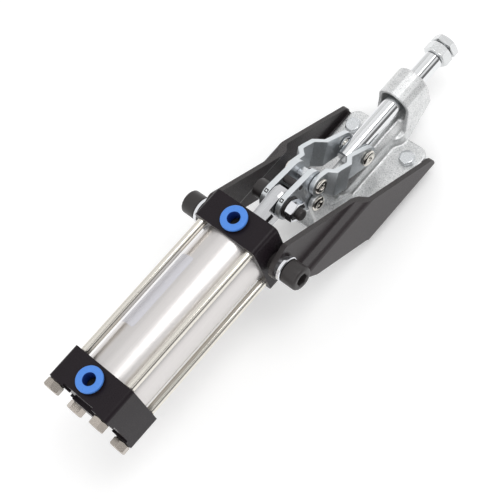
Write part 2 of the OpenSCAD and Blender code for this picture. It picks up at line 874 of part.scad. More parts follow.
module piston() {
    color(zinc_colour) difference() {
        at(0, axis_z) rod_x(piston_back_x, piston_front_x, piston_r);
        at(0, axis_z) rod_x(piston_back_x - cut, piston_front_x + cut, stud_r + tight_fit);
        at_piston_seals() difference() {
            rod_x(0, seal_w, piston_r + cut);
            rod_x(-cut, seal_w + cut, piston_r - seal_groove);
        }
        at(piston_mid_x - wear_ring_w / 2, axis_z) difference() {
            rod_x(0, wear_ring_w, piston_r + cut);
            rod_x(-cut, wear_ring_w + cut, piston_r - wear_ring_t);
        }
    }
}

module piston_seals() {
    color(rubber_colour) at_piston_seals() difference() {
        rod_x(seal_slack, seal_w - seal_slack, bore_d / 2 - run_fit);
        rod_x(0, seal_w, piston_r - seal_groove + seal_slack);
    }
}

module piston_wear_ring() {
    color(plastic_colour) at(piston_mid_x - wear_ring_w / 2, axis_z) difference() {
        rod_x(seal_slack, wear_ring_w - seal_slack, bore_d / 2 - run_fit);
        rod_x(0, wear_ring_w, piston_r - wear_ring_t + run_fit);
    }
}

module piston_nut() {
    color(zinc_colour) at(0, axis_z) difference() {
        nut_x(piston_back_x - piston_nut_h, piston_back_x, bolt_nut_af);
        rod_x(piston_back_x - piston_nut_h - cut, piston_back_x + cut, stud_r + tight_fit);
    }
}

// Lever plate in side view, round at each pivot
module lever_outline() {
    shoulder_r = 8.5;
    foot_r = 6.8;
    polygon(belt([
        [lever_pivot_x, lever_pivot_z, foot_r],
        [link_pivot_x - 2.5, link_pivot_z + 3.8, shoulder_r],
        [bolt_x, axis_z, lever_end_r]
    ]));
}

module lever_plate() {
    color(zinc_colour) difference() {
        side_plate(lever_in, lever_out) lever_outline();
        at(lever_pivot_x, lever_pivot_z) rod_y(lever_in - cut, lever_out + cut, toggle_pin_d / 2 + run_fit);
        at(link_pivot_x, link_pivot_z) rod_y(lever_in - cut, lever_out + cut, toggle_pin_d / 2 + tight_fit);
        at(bolt_x, axis_z) rod_y(lever_in - cut, lever_out + cut, bolt_d / 2 + tight_fit);
        at(spacer_x, spacer_z) rod_y(lever_in - cut, lever_out + cut, spacer_neck_r + tight_fit);
    }
}

module lever_plate_left() {
    lever_plate();
}

module lever_plate_right() {
    mirror([0, 1, 0]) lever_plate();
}

// Shouldered rivet that holds the two lever plates apart
module lever_spacer() {
    color(oxide_colour) at(spacer_x, spacer_z) {
        rod_y(-lever_in, lever_in, spacer_neck_r + 0.8);
        rod_y(-lever_out, lever_out, spacer_neck_r);
    }
}

module cross_bolt() {
    head_y = lever_out + washer_t;
    socket_depth = bolt_head_h / 2;
    color(oxide_colour) at(bolt_x, axis_z) difference() {
        union() {
            rod_y(-head_y - bolt_nut_h - bolt_tail, head_y, bolt_d / 2);
            rod_y(head_y, head_y + bolt_head_h, bolt_head_r);
        }
        translate([0, head_y + bolt_head_h - socket_depth, 0]) rotate([-90, 0, 0])
            cylinder(h = socket_depth + cut, r = hex_r(bolt_socket_af), $fn = 6);
    }
}

module cross_nut() {
    head_y = lever_out + washer_t;
    color(nickel_colour) at(bolt_x, axis_z) rotate([0, 0, -90]) difference() {
        nut_x(head_y, head_y + bolt_nut_h, bolt_nut_af);
        rod_x(head_y - cut, head_y + bolt_nut_h + cut, bolt_d / 2 + tight_fit);
    }
}

module cross_washers() {
    color(oxide_colour) at(bolt_x, axis_z) both_sides() difference() {
        rod_y(lever_out, lever_out + washer_t, washer_r);
        rod_y(lever_out - cut, lever_out + washer_t + cut, bolt_d / 2 + tight_fit);
    }
}

module link_pin() {
    color(nickel_colour) at(link_pivot_x, link_pivot_z)
        riveted_pin(link_out + side_gap, toggle_pin_d / 2, pin_head_r, pin_head_t);
}

module link_pin_sleeve() {
    color(zinc_colour) at(link_pivot_x, link_pivot_z) difference() {
        rod_y(-lever_in, lever_in, toggle_pin_d / 2 + 1.5);
        rod_y(-lever_in - cut, lever_in + cut, toggle_pin_d / 2 + tight_fit);
    }
}

// Bent link plate seen from above its own length, from the lever's pivot at 0
module link_path() {
    bend_from = 7;
    bend_to = 11;
    back_from = 22;
    back_to = 29;
    rear_end = -9;
    front_end = link_len + 10;
    // The outer face bends a little later, so that the sheet keeps its thickness
    shift = link_t * tan(20);
    bulge_in = link_in + link_bulge;
    polygon([
        [rear_end, link_in], [bend_from, link_in], [bend_to, bulge_in],
        [back_from, bulge_in], [back_to, link_front_in], [front_end, link_front_in],
        [front_end, link_front_in + link_t], [back_to + shift, link_front_in + link_t],
        [back_from + shift, bulge_in + link_t], [bend_to - shift, bulge_in + link_t],
        [bend_from - shift, link_out], [rear_end, link_out]
    ]);
}

// Link plate in side view along its own length
module link_outline() {
    rear_r = 7.3;
    front_r = 8;
    belly_r = 3;
    belly_from = 13;
    belly_to = 26;
    front_drop = 1;
    polygon(belt([
        [0, 0, rear_r],
        [belly_from, -link_half_h + belly_r, belly_r],
        [belly_to, -link_half_h + belly_r, belly_r],
        [link_len, 0, front_r],
        [belly_to, link_half_h - belly_r - front_drop, belly_r],
        [belly_from, link_half_h - belly_r - front_drop, belly_r]
    ]));
}

module link_plate() {
    color(zinc_colour) at(link_pivot_x, link_pivot_z) rotate([0, link_fall, 0]) difference() {
        intersection() {
            translate([0, 0, -link_half_h - cut]) linear_extrude(2 * link_half_h + 2 * cut) link_path();
            side_plate(0, link_out + link_bulge + cut) link_outline();
        }
        rod_y(0, link_out + cut, toggle_pin_d / 2 + run_fit);
        // Wide eye, because the pivot at the plunger is left open
        at(link_len, 0) rod_y(0, link_out + cut, pin_neck_r + pin_room);
    }
}

module link_plate_left() {
    link_plate();
}

module link_plate_right() {
    mirror([0, 1, 0]) link_plate();
}

module plunger() {
    edge = 0.8;
    drill_tip = 2;
    color(zinc_colour) at(0, plunger_z) difference() {
        turned_x(plunger_back, plunger_front, plunger_d / 2, edge);
        rod_x(plunger_front - spindle_depth - drill_tip, plunger_front + cut, spindle_d / 2 + tight_fit);
        at(plunger_pin_x, 0) rod_y(-plunger_d, plunger_d, toggle_pin_d / 2 + tight_fit);
    }
}

// Pin with thin necks in the links' open eyes, and hollow heads outside them
module plunger_pin() {
    neck_y = link_front_in - side_gap;
    head_y = link_front_in + link_t + side_gap;
    head_r = pin_neck_r + pin_room + 0.7;
    color(nickel_colour) at(plunger_pin_x, plunger_z) difference() {
        union() {
            rod_y(-neck_y, neck_y, toggle_pin_d / 2);
            rod_y(-head_y - pin_head_t, head_y + pin_head_t, pin_neck_r);
            both_sides() rod_y(head_y, head_y + pin_head_t, head_r);
        }
        both_sides() rod_y(head_y - cut, head_y + pin_head_t + cut, pin_neck_r * 0.6);
    }
}

// Spacer collars on the pin beside the plunger
module plunger_pin_collars() {
    color(zinc_colour) at(plunger_pin_x, plunger_z) both_sides() difference() {
        rod_y(plunger_d / 2 + run_fit, link_front_in - side_gap, toggle_pin_d / 2 + 1.6);
        rod_y(0, link_front_in, toggle_pin_d / 2 + tight_fit);
    }
}

module spindle_bolt() {
    color(zinc_colour) at(0, plunger_z) {
        rod_x(plunger_front - spindle_depth, spindle_head_x, spindle_d / 2);
        nut_x(spindle_head_x, spindle_head_x + spindle_head_h, spindle_af);
    }
}

module lock_nut() {
    color(zinc_colour) at(0, plunger_z) difference() {
        nut_x(spindle_seat_x, spindle_seat_x + lock_nut_h, spindle_af);
        rod_x(spindle_seat_x - cut, spindle_seat_x + lock_nut_h + cut, spindle_d / 2 + tight_fit);
    }
}

base_casting();
bracket_left();
bracket_right();
mounting_screws();
ground_pin();
trunnion_bush_left();
trunnion_bush_right();
rear_cap();
front_head();
tube();
tie_rods();
rear_nuts();
rod_gland();
rod_seal();
tube_seals();
trunnion_screw_left();
trunnion_screw_right();
trunnion_collars();
fitting_rear();
fitting_front();
release_ring_rear();
release_ring_front();
piston_rod();
piston();
piston_seals();
piston_wear_ring();
piston_nut();
lever_plate_left();
lever_plate_right();
lever_spacer();
cross_bolt();
cross_nut();
cross_washers();
link_pin();
link_pin_sleeve();
link_plate_left();
link_plate_right();
plunger();
plunger_pin();
plunger_pin_collars();
spindle_bolt();
lock_nut();
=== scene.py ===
import json
import math

import bmesh
import bpy
import numpy as np
from mathutils import Matrix, Vector


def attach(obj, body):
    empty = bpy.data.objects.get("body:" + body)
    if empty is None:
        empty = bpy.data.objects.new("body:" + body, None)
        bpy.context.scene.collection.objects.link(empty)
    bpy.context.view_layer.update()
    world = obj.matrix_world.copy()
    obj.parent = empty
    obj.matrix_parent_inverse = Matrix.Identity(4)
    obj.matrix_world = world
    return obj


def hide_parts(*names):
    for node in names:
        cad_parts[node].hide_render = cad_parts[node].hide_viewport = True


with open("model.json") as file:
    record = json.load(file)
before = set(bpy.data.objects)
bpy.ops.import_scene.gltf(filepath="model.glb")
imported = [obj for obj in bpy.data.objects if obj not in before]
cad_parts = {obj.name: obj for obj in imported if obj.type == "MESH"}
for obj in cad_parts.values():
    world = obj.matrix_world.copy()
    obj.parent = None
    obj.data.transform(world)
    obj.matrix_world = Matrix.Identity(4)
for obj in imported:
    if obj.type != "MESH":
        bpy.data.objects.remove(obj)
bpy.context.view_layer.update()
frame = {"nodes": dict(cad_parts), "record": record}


# Camera: stands above and behind the rear cap, on its right, and looks down along the clamp.
# The place and the lens were fitted to the corners of the two caps in the photograph.
LENS_MM = 91.9
SENSOR_MM = 36.0
CAMERA_FRAME = (
    (0.6484, 0.7319, -0.2096, -0.2668),
    (-0.7275, 0.5145, -0.4540, -0.3649),
    (-0.2244, 0.4468, 0.8660, 0.7415),
    (0.0, 0.0, 0.0, 1.0),
)
camera_data = bpy.data.cameras.new("camera")
camera_data.lens = LENS_MM
camera_data.sensor_width = SENSOR_MM
camera_data.clip_start = 0.02
camera_data.clip_end = 20.0
camera = bpy.data.objects.new("camera", camera_data)
camera.matrix_world = Matrix(CAMERA_FRAME)
bpy.context.scene.collection.objects.link(camera)
bpy.context.scene.camera = camera
bpy.context.scene.view_settings.view_transform = "Standard"


# Studio: a white floor just under the screw ends, two large soft lights, and a pale dome with dark bands
# along the clamp on both sides, so that bright bars show light and dark stripes.
FLOOR_Z = -0.0085
FLOOR_HALF = 4.0
FLOOR_COLOUR = (0.90, 0.90, 0.90, 1)
FLOOR_LIFT = 0.20
WHITE = (1, 1, 1, 1)
DOME_STRENGTH = 0.80
# The dome as metal reflects it, from the horizon at the right (0) over the top (0.5) to the left (1).
DOME_BANDS = [(0.0, 0.60), (0.03, 0.22), (0.075, 0.22), (0.115, 1.15), (0.195, 1.05), (0.225, 0.16),
              (0.245, 0.16), (0.28, 0.85), (0.38, 1.10), (0.66, 1.15), (0.74, 1.25), (0.80, 1.15),
              (0.85, 1.05), (0.86, 0.25), (0.87, 1.05), (1.0, 1.0)]
LIGHT_AIM = (-0.05, 0.0, 0.03)


def node_tree(owner):
    """Switches an owner's nodes on, empties them and returns a maker of nodes and a maker of links.

    The maker of nodes sets in_NAME values on the input NAME, or of that number, and others on the node.
    """
    owner.use_nodes = True
    tree = owner.node_tree
    tree.nodes.clear()

    def make(kind, **values):
        node = tree.nodes.new(kind)
        for key, value in values.items():
            if key.startswith("in_"):
                name = key[3:].replace("_", " ")
                node.inputs[int(name) if name.isdigit() else name].default_value = value
            else:
                setattr(node, key, value)
        return node

    def link(a, b):
        tree.links.new(a, b)

    return make, link


def ramp_node(make, stops):
    """Colour ramp with stops (position, grey or colour)."""
    node = make("ShaderNodeValToRGB")
    elements = node.color_ramp.elements
    while len(elements) < len(stops):
        elements.new(0.5)
    for element, (position, value) in zip(elements, stops):
        element.position = position
        rgb = (value, value, value) if isinstance(value, (int, float)) else value
        element.color = (*rgb, 1.0)
    return node


corners = [(x * FLOOR_HALF, y * FLOOR_HALF, FLOOR_Z) for x, y in ((-1, -1), (1, -1), (1, 1), (-1, 1))]
floor_mesh = bpy.data.meshes.new("floor")
floor_mesh.from_pydata(corners, [], [(0, 1, 2, 3)])
floor = bpy.data.objects.new("floor", floor_mesh)
bpy.context.scene.collection.objects.link(floor)
floor_white = bpy.data.materials.new("floor_white")
make, link = node_tree(floor_white)
shade = make("ShaderNodeBsdfDiffuse", in_Color=FLOOR_COLOUR)
seen_by = make("ShaderNodeLightPath")
seen = make("ShaderNodeMath", operation="MAXIMUM")
link(seen_by.outputs["Is Camera Ray"], seen.inputs[0])
link(seen_by.outputs["Is Glossy Ray"], seen.inputs[1])
seen_at_all = make("ShaderNodeMath", operation="MAXIMUM")
link(seen.outputs[0], seen_at_all.inputs[0])
link(seen_by.outputs["Is Transmission Ray"], seen_at_all.inputs[1])
lift = make("ShaderNodeMath", operation="MULTIPLY", in_1=FLOOR_LIFT)
link(seen_at_all.outputs[0], lift.inputs[0])
glow = make("ShaderNodeEmission", in_Color=WHITE)
link(lift.outputs[0], glow.inputs["Strength"])
both = make("ShaderNodeAddShader")
link(shade.outputs[0], both.inputs[0])
link(glow.outputs[0], both.inputs[1])
link(both.outputs[0], make("ShaderNodeOutputMaterial").inputs[0])
floor_mesh.materials.append(floor_white)

world = bpy.data.worlds.new("studio")
bpy.context.scene.world = world
make, link = node_tree(world)
direction = make("ShaderNodeTexCoord")
sky_parts = make("ShaderNodeSeparateXYZ")
link(direction.outputs["Generated"], sky_parts.inputs[0])
side = make("ShaderNodeMapRange", in_1=-1.0, in_2=1.0)
link(sky_parts.outputs["Y"], side.inputs[0])
bands = ramp_node(make, DOME_BANDS)
link(side.outputs[0], bands.inputs[0])
path = make("ShaderNodeLightPath")
mix = make("ShaderNodeMix", data_type="RGBA")
mix.inputs["A"].default_value = WHITE
link(path.outputs["Is Glossy Ray"], mix.inputs["Factor"])
link(bands.outputs[0], mix.inputs["B"])
sky = make("ShaderNodeBackground", in_Strength=DOME_STRENGTH)
link(mix.outputs["Result"], sky.inputs[0])
plain_white = make("ShaderNodeBackground", in_Color=WHITE, in_Strength=1.0)
seen_sky = make("ShaderNodeMixShader")
link(path.outputs["Is Camera Ray"], seen_sky.inputs[0])
link(sky.outputs[0], seen_sky.inputs[1])
link(plain_white.outputs[0], seen_sky.inputs[2])
link(seen_sky.outputs[0], make("ShaderNodeOutputWorld").inputs[0])


def soft_light(name, place, size, watts):
    """Square area light at place, facing the clamp."""
    data = bpy.data.lights.new(name, "AREA")
    data.size = size
    data.energy = watts
    light = bpy.data.objects.new(name, data)
    light.location = place
    light.rotation_euler = (Vector(LIGHT_AIM) - Vector(place)).to_track_quat("-Z", "Y").to_euler()
    bpy.context.scene.collection.objects.link(light)


soft_light("key_light", place=(0.22, -0.32, 1.15), size=0.6, watts=3.0)
soft_light("fill_light", place=(-0.9, -0.3, 0.8), size=0.7, watts=1.5)


# Base casting: one zinc-plated iron casting with flange, ears, rib, neck and barrel, sand-cast and
# tumbled, so its edges are soft and its flat skin glitters. Only the plunger's bore is machined.
CAST_VOXEL = 0.00065
CAST_SMOOTHING = 8
BORE_R = 0.00682
BORE_NEAR = 0.0006
BARREL_FROM = 0.042
PLUNGER_Z = 0.030
DOUBLES = 2e-6
FLAT_WITHIN = math.radians(0.6)
SHARP_FROM = math.radians(35)
finish_of = {}


def finish(name, colour, roughness, metallic=0.0, grain=1500.0, stretch=(1, 1, 1), vary=0.1, relief=0.1,
           relief_mm=0.03, rough_vary=0.06, coat=0.0, specular=0.5, painted_light=None, cloud=18.0):
    """Principled material on object coordinates in metres, kept in finish_of.

    Colour is a fine noise (grain per metre, stretched) times a broad one (grain / cloud), and both reach
    as far as vary says. Roughness and relief follow the fine noise. Where the piece's own attribute for
    painted light is 1 the colour is the one given for it, a painted highlight on some pieces and painted
    shade on others.
    """
    material = bpy.data.materials.new(name)
    make, link = node_tree(material)
    place = make("ShaderNodeTexCoord")
    mapping = make("ShaderNodeMapping")
    mapping.inputs["Scale"].default_value = stretch
    link(place.outputs["Object"], mapping.inputs[0])
    fine = make("ShaderNodeTexNoise", in_Scale=grain, in_Detail=3.0, in_Roughness=0.6)
    broad = make("ShaderNodeTexNoise", in_Scale=grain / cloud, in_Detail=2.0)
    link(mapping.outputs[0], fine.inputs["Vector"])
    link(place.outputs["Object"], broad.inputs["Vector"])
    low = tuple(c * (1 - vary) for c in colour)
    high = tuple(min(1.0, c * (1 + vary)) for c in colour)
    fine_ramp = ramp_node(make, [(0.32, low), (0.68, high)])
    link(fine.outputs[0], fine_ramp.inputs[0])
    broad_ramp = ramp_node(make, [(0.3, 1 - vary / 2), (0.7, 1.0)])
    link(broad.outputs[0], broad_ramp.inputs[0])
    mixed = make("ShaderNodeMix", data_type="RGBA", blend_type="MULTIPLY")
    mixed.inputs["Factor"].default_value = 1.0
    link(fine_ramp.outputs[0], mixed.inputs["A"])
    link(broad_ramp.outputs[0], mixed.inputs["B"])
    shown = mixed.outputs["Result"]
    # Painted light: where the attribute is 1 the given colour replaces the colour, as a painted highlight
    # or painted shade.
    if painted_light:
        painted_light_mask = make("ShaderNodeAttribute", attribute_name="painted_light")
        painted_light_mix = make("ShaderNodeMix", data_type="RGBA")
        painted_light_mix.inputs["B"].default_value = (*painted_light, 1.0)
        link(painted_light_mask.outputs["Fac"], painted_light_mix.inputs["Factor"])
        link(shown, painted_light_mix.inputs["A"])
        shown = painted_light_mix.outputs["Result"]
    rough = make("ShaderNodeMapRange", in_1=0.3, in_2=0.7,
                 in_3=roughness - rough_vary, in_4=roughness + rough_vary)
    link(fine.outputs[0], rough.inputs[0])
    bump = make("ShaderNodeBump", in_Strength=relief, in_Distance=relief_mm / 1000)
    link(fine.outputs[0], bump.inputs["Height"])
    shader = make("ShaderNodeBsdfPrincipled", in_Metallic=metallic)
    shader.inputs["Coat Weight"].default_value = coat
    shader.inputs["Specular IOR Level"].default_value = specular
    link(shown, shader.inputs["Base Color"])
    link(rough.outputs[0], shader.inputs["Roughness"])
    link(bump.outputs[0], shader.inputs["Normal"])
    link(shader.outputs[0], make("ShaderNodeOutputMaterial").inputs[0])
    finish_of[name] = material


def put(name, mesh, slot, body, *replaced, material=None):
    """Shows a mesh as a piece with its finish, its body and the nodes that it stands for."""
    if not mesh.has_custom_normals:
        mesh.shade_smooth()
        mesh.set_sharp_from_angle(angle=SHARP_FROM)
    piece = bpy.data.objects.new(name, mesh)
    bpy.context.scene.collection.objects.link(piece)
    mesh.materials.clear()
    mesh.materials.append(finish_of[material or slot])
    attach(piece, body)
    if replaced:
        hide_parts(*replaced)


def merged_copy(node):
    """Edit mesh of a node's copy with its doubles merged and its flat faces joined."""
    bm = bmesh.new()
    bm.from_mesh(frame["nodes"][node].data)
    bmesh.ops.remove_doubles(bm, verts=bm.verts, dist=DOUBLES)
    bmesh.ops.dissolve_limit(bm, angle_limit=FLAT_WITHIN, verts=bm.verts, edges=bm.edges)
    return bm


def mesh_from(bm, name):
    """Mesh of an edit mesh, which is freed."""
    mesh = bpy.data.meshes.new(name)
    bm.to_mesh(mesh)
    bm.free()
    return mesh


def points_of(mesh):
    """Points of a mesh as rows of an array."""
    points = np.empty(3 * len(mesh.vertices), dtype=np.float32)
    mesh.vertices.foreach_get("co", points)
    return points.reshape(-1, 3)


def worked(mesh, *steps):
    """New mesh that the steps (modifier kind, its settings) make of a mesh, one after the other."""
    blank = bpy.data.objects.new(mesh.name, mesh)
    bpy.context.scene.collection.objects.link(blank)
    for kind, settings in steps:
        modifier = blank.modifiers.new(kind.lower(), kind)
        for key, value in settings.items():
            setattr(modifier, key, value)
    done = bpy.data.meshes.new_from_object(blank.evaluated_get(bpy.context.evaluated_depsgraph_get()))
    bpy.data.objects.remove(blank)
    return done


finish("cast_zinc", (0.79, 0.81, 0.815), 0.38, 0.88, grain=1500, vary=0.27, relief=0.85, relief_mm=0.22,
       rough_vary=0.14, cloud=9.0)
cast_mesh = worked(mesh_from(merged_copy("base_casting"), "casting"),
                   ("REMESH", {"mode": "VOXEL", "voxel_size": CAST_VOXEL}),
                   ("SMOOTH", {"factor": 0.5, "iterations": CAST_SMOOTHING}))
# The smoothed skin draws in at the bore, so points near it in the barrel are pushed out to its radius.
cast_points = points_of(cast_mesh)
away = np.hypot(cast_points[:, 1], cast_points[:, 2] - PLUNGER_Z)
in_bore = (cast_points[:, 0] > BARREL_FROM) & (away < BORE_R + BORE_NEAR)
stretch_out = np.where(in_bore, np.maximum(BORE_R / np.maximum(away, 1e-5), 1.0), 1.0)
cast_points[:, 1] *= stretch_out
cast_points[:, 2] = PLUNGER_Z + (cast_points[:, 2] - PLUNGER_Z) * stretch_out
cast_mesh.vertices.foreach_set("co", cast_points.ravel())
put("casting", cast_mesh, "cast_zinc", "base", "base_casting")


# Brackets: two bent 3.5 mm steel sheets, left and right, laser cut, painted black. Their cut ends are
# painted paler, a painted reflection.
BRACKET_EDGE = 0.45
CREASE_FROM = math.radians(50)


def softened(node, width_mm, angle=28.0, segments=2):
    """Mesh in a node's shape whose edges sharper than angle degrees are rounded over by a small width."""
    bm = merged_copy(node)
    sharp = math.radians(angle)
    edges = [e for e in bm.edges if len(e.link_faces) == 2 and e.calc_face_angle(0.0) > sharp]
    bmesh.ops.bevel(bm, geom=edges, offset=width_mm / 1000, offset_type="OFFSET", segments=segments,
                    profile=0.5, affect="EDGES", clamp_overlap=True, loop_slide=True)
    bmesh.ops.recalc_face_normals(bm, faces=bm.faces)
    mesh = mesh_from(bm, node + "_soft")
    mesh.shade_smooth()
    mesh.set_sharp_from_angle(angle=CREASE_FROM)
    return worked(mesh, ("WEIGHTED_NORMAL", {"keep_sharp": True, "weight": 80}))


# Marks the faces where light or shade is painted.
def mark_painted_light(mesh, axis, none_at, full_at):
    """Attribute rim of each face: clip((share - none_at) / (full_at - none_at), 0, 1), where share is the
    size of its normal's part along the axis."""
    normals = np.empty(3 * len(mesh.polygons), dtype=np.float32)
    mesh.polygons.foreach_get("normal", normals)
    share = np.abs(normals.reshape(-1, 3)[:, axis])
    value = np.clip((share - none_at) / (full_at - none_at), 0.0, 1.0)
    painted_light = mesh.attributes.new("painted_light", "FLOAT", "FACE")
    painted_light.data.foreach_set("value", value.astype(np.float32))


# Painted light: the paler colour on the sheets' cut ends is a painted reflection.
finish("bracket_black", (0.030, 0.024, 0.026), 0.30, 0.0, grain=2600, vary=0.12, relief=0.15,
       relief_mm=0.03, painted_light=(0.045, 0.040, 0.040), specular=0.36)
for node in ("bracket_left", "bracket_right"):
    sheet = softened(node, BRACKET_EDGE)
    mark_painted_light(sheet, axis=0, none_at=0.25, full_at=0.45)
    put(node + "_sheet", sheet, "bracket_black", "base", node)


# Mounting bolts: four M6 hexagon bolts, white zinc plate, that clamp the flange and the bracket feet.
# Their ends stand out under the feet.
ALONG, ACROSS, UP = (1, 0, 0), (0, 1, 0), (0, 0, 1)
SCREW_PLACES = [(x, y, 0.0) for x in (-24.0, 24.0) for y in (-23.5, 23.5)]
SCREW_ACROSS = 10.0
THREAD_DEPTH = 0.32
NO_LIMIT = 1000.0
THREAD_STEPS = 6
FACE_SHARE = 0.94


def turned(centre, axis, rows, columns=72, pitch=1.0, turn=0.0, ring=False):
    """Surface turned about an axis through centre, in mm: (points, faces).

    A row is (along, radius, hexagon, limit, thread), where the last three may be left out. At angle a the
    point stands at centre + along*axis + r(a)*(cos a*side + sin a*up) with
    r(a) = min(limit, radius*(1 + hexagon*(1/cos b - 1))) - thread*w, where b is the angle from the middle
    of the nearest flat and w is a triangle wave of along/pitch - a/360 degrees. Between two rows with a
    thread there are further rows. The last row is joined to the first when it is a ring.
    """
    full = np.array([tuple(row) + (0.0, NO_LIMIT, 0.0)[len(row) - 2:] for row in rows], dtype=float)
    dense = [full[:1]]
    for start, end in zip(full[:-1], full[1:]):
        threaded = min(start[4], end[4]) > 0
        steps = max(1, int(abs(end[0] - start[0]) / pitch * THREAD_STEPS)) if threaded else 1
        dense.append(start + (end - start) * np.linspace(0, 1, steps + 1)[1:, None])
    along, radius, hexagon, limit, thread = np.concatenate(dense).T[:, :, None]
    angle = np.arange(columns)[None, :] * 2 * np.pi / columns
    bay = (angle + np.pi / 6) % (np.pi / 3) - np.pi / 6
    r = np.minimum(radius * (1 + hexagon * (1 / np.cos(bay) - 1)), limit)
    wave = np.abs(2 * ((along / pitch - angle / (2 * np.pi)) % 1.0) - 1)
    r = r - thread * wave
    axis = np.array(axis, dtype=float)
    side = np.cross(axis, UP if abs(axis[2]) < 0.9 else ACROSS)
    side = side / np.linalg.norm(side)
    up = np.cross(axis, side)
    spun = angle + math.radians(turn)
    points = (np.array(centre, dtype=float) + along[..., None] * axis
              + (r * np.cos(spun))[..., None] * side + (r * np.sin(spun))[..., None] * up).reshape(-1, 3)
    count = len(along)
    i = np.arange(count if ring else count - 1)[:, None]
    j = np.arange(columns)[None, :]
    following = (j + 1) % columns
    below = i * columns
    above = ((i + 1) % count) * columns
    faces = np.stack([below + j, below + following, above + following, above + j], axis=-1).reshape(-1, 4)
    return points, faces


def joined(name, surfaces):
    """Mesh of one or more surfaces in mm, with doubles merged and faces turned outwards."""
    starts = np.cumsum([0] + [len(points) for points, _ in surfaces])
    points = np.concatenate([points for points, _ in surfaces]) / 1000.0
    faces = np.concatenate([faces + start for (_, faces), start in zip(surfaces, starts)])
    mesh = bpy.data.meshes.new(name)
    mesh.from_pydata(points.tolist(), [], faces.tolist())
    bm = bmesh.new()
    bm.from_mesh(mesh)
    bmesh.ops.remove_doubles(bm, verts=bm.verts, dist=2e-7)
    bmesh.ops.dissolve_degenerate(bm, dist=1e-7, edges=bm.edges)
    bmesh.ops.recalc_face_normals(bm, faces=bm.faces)
    bm.to_mesh(mesh)
    bm.free()
    return mesh


def hexagon_rows(low, high, across, low_cut=True, high_cut=True, steps=6):
    """Rows of a hexagon prism from low to high, with its ends cut back by a 30 degree cone."""
    corner = across / 2 / math.cos(math.pi / 6)
    face = across / 2 * FACE_SHARE
    depth = (corner - face) * math.tan(math.pi / 6)
    cone = [(t * depth, face + t * (corner - face)) for t in np.linspace(0, 1, steps)]
    start, end = [(low, across / 2, 1.0)], [(high, across / 2, 1.0)]
    if low_cut:
        start = [(low + d, across / 2, 1.0, r) for d, r in cone]
    if high_cut:
        end = [(high - d, across / 2, 1.0, r) for d, r in cone[::-1]]
    return start + end


finish("zinc_plate", (0.70, 0.72, 0.74), 0.24, 0.95, grain=900, vary=0.06, relief=0.16, relief_mm=0.03)
bolt_rows = ([(-8.0, 0.0), (-8.0, 2.4), (-7.5, 3.0, 0, NO_LIMIT, THREAD_DEPTH),
              (2.5, 3.0, 0, NO_LIMIT, THREAD_DEPTH), (3.0, 3.0), (7.0, 3.0), (7.0, 4.75), (7.25, 4.75)]
             + hexagon_rows(7.25, 11.0, SCREW_ACROSS, low_cut=False) + [(10.9, 3.4), (10.9, 0.0)])
bolts = [turned(place, UP, bolt_rows, turn=12.0 + 17.0 * k) for k, place in enumerate(SCREW_PLACES)]
put("mounting_bolts", joined("mounting_bolts", bolts), "zinc_plate", "base", "mounting_screws")


# Pins of the toggle: steel, nickel plated, with both ends rolled over into a ring round a hollow.
# The first is fixed in the ears of the casting.
GROUND_PIN = (-46.8, 0.0, 42.0)
PIN_R = 3.75
PIN_HEAD_T = 1.7


def rolled_pin(centre, half, head_r=5.35, neck_from=None, neck_r=None):
    """Turned surface of a pin along Y with rolled heads; from neck_from outwards its shank is thinner."""
    r, head_t = PIN_R, PIN_HEAD_T
    shank = neck_r or r
    head = [(head_t - 0.9, 0.0), (head_t - 0.9, shank * 0.42), (head_t - 0.5, shank * 0.50),
            (head_t - 0.1, shank * 0.64), (head_t, shank * 0.82), (head_t - 0.08, head_r * 0.80),
            (head_t - 0.45, head_r * 0.94), (head_t - 0.9, head_r), (0.25, head_r), (0.0, head_r - 0.25),
            (0.0, shank)]
    right = [(-half - out, radius) for out, radius in head]
    left = [(half + out, radius) for out, radius in head[::-1]]
    middle = []
    if neck_from:
        middle = [(-neck_from, shank), (-neck_from, r), (neck_from, r), (neck_from, shank)]
    return turned(centre, ACROSS, right + middle + left)


finish("nickel", (0.80, 0.765, 0.70), 0.17, 1.0, grain=1500, vary=0.05, relief=0.10, relief_mm=0.02)
ground = joined("lever_ground_pin", [rolled_pin(GROUND_PIN, half=12.4)])
put("lever_ground_pin", ground, "nickel", "base", "ground_pin")


# Trunnions: on each side a flanged bush pressed into the bracket, chromed bright, a black socket-head
# screw that turns in it and holds the cylinder's front head, and a grooved black collar between them.
TRUNNION = (-98.4, 0.0, 60.5)
bush_rows = [(28.8, 5.05), (28.8, 6.2), (29.1, 6.5), (32.3, 6.5), (32.3, 7.0), (33.9, 7.0), (33.9, 8.4),
             (34.3, 8.8), (36.2, 8.8), (36.7, 8.3), (36.7, 5.3), (36.45, 5.05)]
screw_rows = [(14.0, 0.0), (14.0, 4.4), (14.6, 5.0, 0, NO_LIMIT, 0.3), (24.5, 5.0, 0, NO_LIMIT, 0.3),
              (24.8, 5.0), (37.0, 5.0), (37.0, 7.6), (37.5, 8.15), (46.6, 8.15), (47.2, 8.0), (47.8, 7.5),
              (48.1, 6.9), (48.2, 6.3), (48.2, 4.9), (47.7, 4.0, 1.0), (43.2, 4.0, 1.0), (42.2, 0.0)]
collar_rows = [(25.05, 5.02), (25.05, 6.2)]
for rib in (25.5, 26.3, 27.1, 27.9):
    collar_rows += [(rib - 0.25, 6.55), (rib + 0.25, 6.55), (rib + 0.4, 6.15)]
collar_rows += [(28.5, 6.2), (28.5, 5.02)]
finish("chrome_bright", (0.78, 0.79, 0.82), 0.10, 1.0, grain=1500, vary=0.03, relief=0.05, relief_mm=0.01,
       rough_vary=0.03)
finish("black_oxide", (0.030, 0.026, 0.026), 0.40, 0.0, grain=2600, vary=0.25, relief=0.3, relief_mm=0.03,
       specular=0.45)
